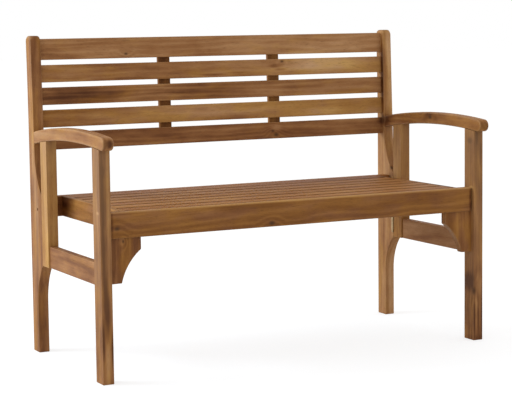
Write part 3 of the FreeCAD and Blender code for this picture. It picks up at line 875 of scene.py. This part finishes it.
def write_arm_frames():
    """Both arm frames: front leg, rear upright, lower rail, armrest and seat bracket."""
    leg, leg_top, leg_slope = support(leg_front, leg_rear, 0)
    upright, upright_top, upright_slope = support(upright_front, upright_rear, rail_low)
    seats = leaf_seats(-1)
    low = (inner_face + lower_rail_inset, leg_rear - joint_lap, rail_low)
    high = (half_width - lower_rail_inset, upright_front + joint_lap, rail_high)
    rail = straight_board(low, high, 1, edge, 0.2)
    armrest = carried(armrest_outline(), 0, inner_face, half_width, armrest_ease, 6)
    outline, rim = bracket_outline()
    bracket = carried(outline, 1, bracket_front, bracket_rear, rim)
    behind = (0, neck_front - arm_gap / math.cos(lean), neck_level)
    towards_post = (0, math.cos(lean), -math.sin(lean))
    for name, turn in (("right", tuple), ("left", mirrored)):
        mesh = trimmed(new_mesh("leg", [turn(leg)]), leg_top, leg_slope)
        wooden_piece(name + "_front_leg", mesh, "frame", 2)
        mesh = trimmed(new_mesh("upright", [turn(upright)]), upright_top, upright_slope)
        mesh = hollowed(mesh, [turn(seat) for seat in seats])
        wooden_piece(name + "_rear_upright", mesh, "frame", 2)
        wooden_piece(name + "_lower_rail", new_mesh("rail", [turn(rail)]), "frame", 1)
        mesh = trimmed(new_mesh("armrest", [turn(armrest)]), behind, towards_post)
        wooden_piece(name + "_armrest", mesh, "frame", 1, True)
        wooden_piece(name + "_seat_bracket", new_mesh("bracket", [turn(bracket)]), "frame", 2)


# Hinges
def leaf_plate(level, side):
    """A leaf: a plate whose tongues reach the barrel where its knuckles are."""
    third = hinge_half / 3
    near = barrel_x + barrel_radius + 0.2
    ends, middle = (barrel_x, near) if side > 0 else (near, barrel_x)
    corners = np.array([
        (-hinge_half, leaf_far), (hinge_half, leaf_far), (hinge_half, ends), (third, ends),
        (third, middle), (-third, middle), (-third, ends), (-hinge_half, ends),
    ])
    corners[:, 0] += level
    radii = np.full(len(corners), 0.4)
    radii[:2] = 1.5
    low, high = sorted((hinge_line + side * leaf_near, hinge_line + side * leaf_deep))
    return carried(softened(corners, radii, 4), 1, low, high, 0.3, 3)


def knuckle(low, high):
    """One knuckle of the barrel: a circle carried along the pin, its ends eased."""
    circle = arc((barrel_x, hinge_line), barrel_radius, 0, 2 * math.pi, 33)[:-1]
    return carried(circle, 2, low + knuckle_gap, high - knuckle_gap, 0.45, 3)


def domed_pin(along, centre, radius, low, high):
    """A straight pin with low domed ends: radius cos a beside 0.35 radius sin a."""
    angle = np.linspace(math.pi / 2, 0, 7)
    dome = 0.35 * radius
    lower = np.stack([radius * np.cos(angle), low + dome * (1 - np.sin(angle))], 1)
    upper = np.stack([radius * np.cos(angle), high - dome * (1 - np.sin(angle))], 1)[::-1]
    return turned(np.concatenate([lower, upper]), along, centre, 28)


def write_hinges():
    """The four butt hinges: post leaf, arm leaf and pin of each, and all their screws."""
    screws = []
    third = hinge_half / 3
    for label, level in hinge_levels.items():
        ends = (level - hinge_half, level - third, level + third, level + hinge_half)
        post = [leaf_plate(level, 1), knuckle(ends[0], ends[1]), knuckle(ends[2], ends[3])]
        arm = [leaf_plate(level, -1), knuckle(ends[1], ends[2])]
        low, high = ends[0] - hinge_pin_end, ends[3] + hinge_pin_end
        pin = [domed_pin(2, (barrel_x, hinge_line, 0), hinge_pin_radius, low, high)]
        heads = []
        for side in (-1, 1):
            for step in (-leaf_screw_step, leaf_screw_step):
                place = (leaf_middle, hinge_line + side * leaf_screw_sink, level + step)
                heads.append(screw_head(1, place, -side))
        for name, turn in (("right", tuple), ("left", mirrored)):
            for part, shapes in (("post_leaf", post), ("arm_leaf", arm), ("pin", pin)):
                node = "%s_%s_hinge_%s" % (name, label, part)
                mesh = new_mesh(node, [turn(shape) for shape in shapes])
                new_piece(node + ".steel", mesh, "frame", [node], hinge_steel)
            screws += [turn(head) for head in heads]
    mesh = new_mesh("screws", screws)
    new_piece("hinge_screws.heads", mesh, "frame", ["hinge_screws"], screw_steel)


# Seat
def seat_side_rail():
    """The right side rail: a ledge under the slats and a wall that rises past their ends."""
    corners = [
        (rail_under, side_rail_inner), (rail_under, side_rail_outer), (seat_top, side_rail_outer),
        (seat_top, side_rail_wall), (seat_under, side_rail_wall), (seat_under, side_rail_inner),
    ]
    outline = softened(corners, (1.0, edge, slat_ease, slat_ease, 0, 1.0))
    return carried(outline, 1, front_rail[1] - joint_lap, rear_rail[0] + joint_lap, 0.2)


def write_seat():
    """The folding seat: its five rails, its slats, their screws and the two pivot pins."""
    low, high = (-rail_end, front_rail[0], front_rail_low), (rail_end, front_rail[1], seat_top)
    rail = straight_board(low, high, 0, (edge, edge, edge, front_rail_round), 1.5)
    wooden_piece("seat_front_rail", new_mesh("rail", [rail]), "seat", 0)
    low, high = (-rail_end, rear_rail[0], rail_under), (rail_end, rear_rail[1], seat_top)
    rail = straight_board(low, high, 0, edge, 1.5)
    wooden_piece("seat_rear_rail", new_mesh("rail", [rail]), "seat", 0)
    low = (-middle_rail_half, front_rail[1] - joint_lap, rail_under)
    high = (middle_rail_half, rear_rail[0] + joint_lap, seat_under)
    middle = straight_board(low, high, 1, 1.0, 0.2)
    side = seat_side_rail()
    for name, rail in (("left", mirrored(side)), ("middle", middle), ("right", side)):
        wooden_piece(name + "_seat_rail", new_mesh("rail", [rail]), "seat", 1)
    spans = seat_slat_spans()
    ledge = (side_rail_inner + side_rail_wall) / 2
    places = [(x, sum(span) / 2, rail_under) for x in (-ledge, 0, ledge) for span in spans]
    screws = [screw_head(2, place, -1) for place in places]
    for number, (front, rear) in enumerate(spans, 1):
        low, high = (-seat_slat_end, front, seat_under), (seat_slat_end, rear, seat_top)
        slat = straight_board(low, high, 0, slat_ease)
        wooden_piece("seat_slat_%d" % number, new_mesh("slat", [slat]), "seat", 0, narrow=1)
    mesh = new_mesh("screws", screws)
    new_piece("seat_screws.heads", mesh, "seat", ["seat_screws"], screw_steel)
    low, high = rail_end - pivot_pin_hold, half_width - pivot_pin_short
    pin = domed_pin(0, (0, pivot_y, pivot_level), pivot_radius, low, high)
    for name, turn in (("right", tuple), ("left", mirrored)):
        node = name + "_pivot_pin"
        mesh = new_mesh(node, [turn(pin)])
        new_piece(node + ".steel", mesh, "seat", [node], pin_steel)


# Studio
def add_floor():
    """A pale floor, lit as any surface, with a white that only camera and mirror rays see."""
    mesh = bpy.data.meshes.new("floor")
    reach = 30.0
    corners = reach * np.array([(-1, -1, 0), (1, -1, 0), (1, 1, 0), (-1, 1, 0)])
    mesh.from_pydata(corners, [], [(0, 1, 2, 3)])
    floor = bpy.data.objects.new("floor", mesh)
    bpy.context.scene.collection.objects.link(floor)
    pale = Finish(bpy.data.materials.new("pale_floor"))
    lit = pale.node("ShaderNodeBsdfDiffuse", None, {"Color": (0.80, 0.80, 0.80, 1)})
    faint = pale.node("ShaderNodeBsdfDiffuse", None, {"Color": (0.36, 0.36, 0.36, 1)})
    white = pale.node("ShaderNodeEmission", None, {"Color": (1, 1, 1, 1), "Strength": 0.72})
    shown = pale.node("ShaderNodeAddShader", None, {0: faint, 1: white})
    both = pale.node("ShaderNodeMixShader", None, {0: seen_directly(pale), 1: lit, 2: shown})
    pale.node("ShaderNodeOutputMaterial", None, {"Surface": both})
    mesh.materials.append(pale.holder)


def seen_directly(finish):
    """1 for rays from the camera or off a mirror or glass, 0 for light that falls on things."""
    names = ("Is Camera Ray", "Is Glossy Ray", "Is Transmission Ray")
    path = [finish.node("ShaderNodeLightPath", None, None, name) for name in names]
    return finish.math("MINIMUM", path[0] + path[1] + path[2], 1.0)


def add_light():
    """A white room, and one broad soft lamp on the left, a little behind the back rest."""
    world = Finish(bpy.data.worlds.new("studio"))
    seen = seen_directly(world)
    room = world.node("ShaderNodeBackground", None, {"Color": (1, 1, 1, 1), "Strength": 0.84})
    white = world.node("ShaderNodeBackground", None, {"Color": (1, 1, 1, 1), "Strength": 1.0})
    both = world.node("ShaderNodeMixShader", None, {0: seen, 1: room, 2: white})
    world.node("ShaderNodeOutputWorld", None, {"Surface": both})
    bpy.context.scene.world = world.holder
    lamp = bpy.data.lights.new("left_softbox", "AREA")
    lamp.shape = "RECTANGLE"
    lamp.size = 2.0
    lamp.size_y = 2.0
    lamp.energy = 112
    lamp.color = (0.86, 1.0, 1.15)
    softbox = bpy.data.objects.new("left_softbox", lamp)
    place = np.array([-3.4, 1.5, 2.0])
    aim = unit(np.array([0.0, 0.0, 0.45]) - place)
    right = unit(np.cross(aim, (0, 0, 1)))
    up = np.cross(right, aim)
    turn = np.eye(4)
    turn[:3, :4] = np.stack([right, up, -aim, place], 1)
    softbox.matrix_world = Matrix(turn.tolist())
    bpy.context.scene.collection.objects.link(softbox)


def add_camera():
    """The camera that was fitted to the photograph, which is 512 pixels wide and 411 high.

    Its place is in metres; its turn about the vertical, its tilt and its roll are in radians. The
    focal length and the row of the lens's axis are in pixels of the photograph.
    """
    place = np.array([-2.149546, -4.14679, 0.952975])
    turn, tilt, roll = 0.47577, -0.09769, -0.01179
    width, middle_row = 512, 205.5
    focal, axis_row = 1638.916, 175.0
    flat = math.cos(tilt)
    ahead = np.array([math.sin(turn) * flat, math.cos(turn) * flat, math.sin(tilt)])
    level = np.array([math.cos(turn), -math.sin(turn), 0])
    above = np.cross(level, ahead)
    right = level * math.cos(roll) + above * math.sin(roll)
    up = above * math.cos(roll) - level * math.sin(roll)
    data = bpy.data.cameras.new("camera")
    data.sensor_width = 36
    data.lens = data.sensor_width * focal / width
    data.shift_y = (axis_row - middle_row) / width
    data.clip_end = 200
    camera = bpy.data.objects.new("camera", data)
    pose = np.eye(4)
    pose[:3, :4] = np.stack([right, up, -ahead, place], 1)
    camera.matrix_world = Matrix(pose.tolist())
    bpy.context.scene.collection.objects.link(camera)
    bpy.context.scene.camera = camera


add_camera()
write_posts()
write_back()
write_arm_frames()
write_hinges()
write_seat()
add_floor()
add_light()
bpy.context.scene.view_settings.view_transform = "Standard"
